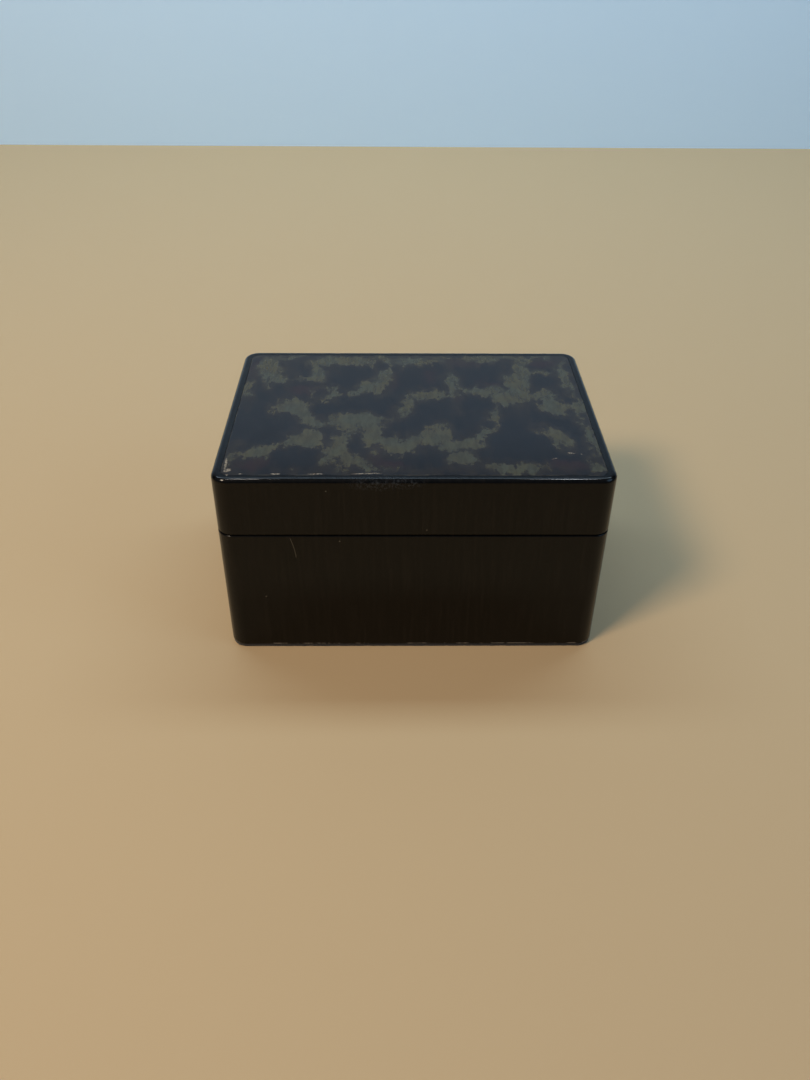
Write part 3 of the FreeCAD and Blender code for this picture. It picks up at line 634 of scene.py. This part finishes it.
def pressed_cloth():
    """The flannel: a flat, hemmed rectangle, pressed into the block's recess by the cake."""
    start_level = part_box("cake_cradle")[1].z + 0.8 * MM
    across_count, along_count = 80, 58
    columns = across_count + 1
    places = []
    for j in range(along_count + 1):
        for i in range(columns):
            across = CLOTH_WIDE * (i / across_count - 0.5)
            along = CLOTH_DEEP * (j / along_count - 0.5)
            ripple = 0.2 * MM * noise.noise(Vector((i * 0.14, j * 0.14, 3.1)))
            places.append(Vector((across, along, start_level + ripple)))
    faces = []
    for j in range(along_count):
        for i in range(across_count):
            corner = j * columns + i
            faces.append((corner, corner + 1, corner + columns + 1, corner + columns))
    cloth = new_piece("flannel_rosin_cloth", [place * SIM_SCALE for place in places], faces)
    flat = cloth.data.attributes.new(FLAT_PLACE, "FLOAT_VECTOR", "POINT")
    flat.data.foreach_set("vector", [part / MM for place in places for part in place])
    bed = press_tool("cake_cradle")
    cake = press_tool("rosin_cake")
    for frame_number, lift in ((1, 16 * MM), (30, 0.2 * MM)):
        cake.location.z = lift * SIM_SCALE
        cake.keyframe_insert("location", index=2, frame=frame_number)
    modifier = cloth.modifiers.new("cloth", "CLOTH")
    fabric = modifier.settings
    fabric.quality = 10
    fabric.mass = 0.25
    fabric.air_damping = 3.0
    fabric.bending_stiffness = 4.0
    fabric.bending_damping = 3.0
    fabric.tension_stiffness = 40.0
    fabric.tension_damping = 20.0
    fabric.compression_stiffness = 40.0
    fabric.compression_damping = 20.0
    fabric.shear_stiffness = 12.0
    fabric.shear_damping = 20.0
    touch = modifier.collision_settings
    touch.collision_quality = 4
    touch.distance_min = 0.003
    touch.use_self_collision = True
    touch.self_distance_min = 0.003
    touch.self_friction = 5.0
    run_cloth(cloth, 48)
    for tool in (bed, cake):
        bpy.data.objects.remove(tool)
    cloth.data.transform(Matrix.Scale(1 / SIM_SCALE, 4))
    finer = cloth.modifiers.new("finer", "SUBSURF")
    finer.levels = 1
    finer.render_levels = 1
    body = cloth.modifiers.new("body", "SOLIDIFY")
    body.thickness = 0.4 * MM
    body.offset = 0.0
    bake_shape(cloth)
    return settle_in(cloth, "base", "rosin_cloth", "rosin_cloth")


def felt_foot():
    """The felt glued under the base: rounded corners in plan, a soft, slightly ragged cut edge."""
    low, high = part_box("underside_felt")
    corner = 4.0 * MM
    soft = 0.25 * MM            # how rounded the felt's cut edge is
    spacing = 1.2 * MM
    rag = 0.07 * MM
    rag_size = 0.9 * MM
    rows = [(soft, 0.0), (0.3 * soft, 0.35 * soft), (0.0, soft), (0.0, high.z / 2),
            (0.0, high.z - soft), (0.3 * soft, high.z - 0.35 * soft), (soft, high.z)]
    half_x = (high.x - low.x) / 2 - corner
    half_y = (high.y - low.y) / 2 - corner
    turns = 10
    side_x = round(2 * half_x / spacing)
    side_y = round(2 * half_y / spacing)
    outline = []
    for quarter, (sign_x, sign_y, count) in enumerate(((1, 1, side_x), (-1, 1, side_y),
                                                       (-1, -1, side_x), (1, -1, side_y))):
        centre = Vector((sign_x * half_x, sign_y * half_y))
        for step in range(turns + 1):
            angle = math.pi / 2 * (quarter + step / turns)
            outline.append((centre, Vector((math.cos(angle), math.sin(angle)))))
        run = Vector((-2 * half_x * sign_x, 0)) if quarter % 2 == 0 else Vector((0, -2 * half_y * sign_y))
        for step in range(1, count):
            outline.append((centre + run * step / count, outline[-1][1]))
    points = []
    for inset, level in rows:
        for centre, outward in outline:
            place = centre + outward * (corner - inset)
            shift = rag * noise.noise(Vector((place.x, place.y, level)) / rag_size)
            place += outward * (shift - rag)
            points.append((place.x, place.y, level))
    around = len(outline)
    faces = [tuple(reversed(range(around))), tuple(range((len(rows) - 1) * around, len(rows) * around))]
    for row in range(len(rows) - 1):
        for step in range(around):
            following = (step + 1) % around
            faces.append((row * around + step, row * around + following,
                          (row + 1) * around + following, (row + 1) * around + step))
    foot = new_piece("felt_underside", points, faces)
    return settle_in(foot, "base", "underside_felt", "underside_felt")


def make_soft_pieces():
    """Every lined, padded or cloth piece, each in place of its plain CAD solid."""
    for number, side in enumerate(("front", "back", "left", "right")):
        seed = 1.7 * number
        velvet_board(side + "_liner", "base", seed)
        velvet_board("lid_" + side + "_liner", "lid", seed + 9)
    foam_cradle()
    pressed_cloth()
    lid_cushion()
    felt_foot()


# ------------------------------------------------------------------ stage, light and camera

def wall_paint():
    """A plain pale blue that turns darker towards the top of the wall."""
    pale = (0.60, 0.80, 1.0, 1)
    middling = (0.34, 0.43, 0.54, 1)
    dark = (0.15, 0.18, 0.22, 1)
    s = Shader("stage_wall")
    _, _, z = s.axes()
    colour = s.mix(s.step(z, 160.0, 280.0), pale, middling)
    colour = s.mix(s.step(z, 370.0, 425.0), colour, dark)
    return s.finish(Base_Color=colour, Roughness=0.85)


def sheet_of(name, corners, material):
    """A flat piece of the stage."""
    mesh = bpy.data.meshes.new(name)
    mesh.from_pydata(corners, [], [tuple(range(len(corners)))])
    piece = bpy.data.objects.new(name, mesh)
    bpy.context.scene.collection.objects.link(piece)
    mesh.materials.append(material)


def area_light(name, place, target, size, power, colour):
    """A rectangular lamp of this size in metres and power in watts, aimed at the target."""
    data = bpy.data.lights.new(name, "AREA")
    data.shape = "RECTANGLE"
    data.size, data.size_y = size
    data.energy = power
    data.color = colour
    lamp = bpy.data.objects.new(name, data)
    bpy.context.scene.collection.objects.link(lamp)
    lamp.location = place
    lamp.rotation_euler = (Vector(target) - Vector(place)).to_track_quat("-Z", "Y").to_euler()
    return lamp


def lacquered_only(*lamps):
    """Let these lamps light only the lacquered pieces, whose rounded rims show them as thin glints."""
    pieces = bpy.data.collections.new("lacquered_pieces")
    for part in frame["record"]["subparts"]:
        if part["material_slot"] == "black_lacquer":
            pieces.objects.link(frame["nodes"][part["node"]])
    for lamp in lamps:
        lamp.light_linking.receiver_collection = pieces


def make_stage():
    """A plain pale floor running back to a plain pale blue wall, and soft light."""
    reach = 3.0
    wall_y = 0.52
    wall_top = 1.6
    floor_colour = (0.52, 0.365, 0.20, 1)
    sky_colour = (0.50, 0.64, 0.84, 1)
    sky_strength = 0.17
    floor_paint = Shader("stage_floor").finish(Base_Color=floor_colour, Roughness=0.85)
    sheet_of("floor", [(-reach, -reach, 0), (reach, -reach, 0), (reach, wall_y, 0), (-reach, wall_y, 0)],
             floor_paint)
    sheet_of("back_wall", [(-reach, wall_y, 0), (reach, wall_y, 0), (reach, wall_y, wall_top),
                           (-reach, wall_y, wall_top)], wall_paint())
    middle = (0, 0, BOX_TALL / 2)
    area_light("warm_key", (-0.48, -0.42, 0.72), middle, (0.22, 0.22), 5.9, (1.0, 0.82, 0.62))
    area_light("cool_fill", (0.55, -0.25, 0.42), middle, (0.35, 0.35), 0.85, (0.40, 0.68, 1.0))
    area_light("wall_wash", (0.0, 0.30, 0.75), (0, wall_y, 0.05), (1.2, 0.2), 5.5, (0.61, 0.82, 1.0))
    left = area_light("left_lamp", (-0.19, -0.10, 1.0), middle, (0.03, 0.04), 0.5, (1.0, 0.95, 0.9))
    right = area_light("right_lamp", (0.22, -0.10, 1.0), middle, (0.09, 0.04), 0.8, (0.9, 0.95, 1.0))
    lacquered_only(left, right)
    world = bpy.data.worlds.new("soft_room")
    bpy.context.scene.world = world
    world.use_nodes = True
    background = world.node_tree.nodes["Background"]
    background.inputs["Color"].default_value = sky_colour
    background.inputs["Strength"].default_value = sky_strength


def make_camera():
    """A hand-held view from the front, looking down, a little left of the middle."""
    scene = bpy.context.scene
    yaw = -0.0161
    pitch = 0.6391
    roll = 0.0094
    data = bpy.data.cameras.new("camera")
    camera = bpy.data.objects.new("camera", data)
    scene.collection.objects.link(camera)
    scene.camera = camera
    data.sensor_width = 36.0
    data.lens = 30.34
    data.clip_start = 0.01
    camera.location = Vector((-0.0524, -2.2121, 1.7460)) * BOX_WIDE
    ahead = Vector((-math.sin(yaw) * math.cos(pitch), math.cos(yaw) * math.cos(pitch), -math.sin(pitch)))
    level = Vector((math.cos(yaw), math.sin(yaw), 0))
    upward = level.cross(ahead)
    right = level * math.cos(roll) + upward * math.sin(roll)
    up = upward * math.cos(roll) - level * math.sin(roll)
    camera.rotation_euler = Matrix((right, up, -ahead)).transposed().to_euler()
    scene.view_settings.view_transform = "Standard"


materials = paint_nodes()
make_soft_pieces()
make_stage()
make_camera()
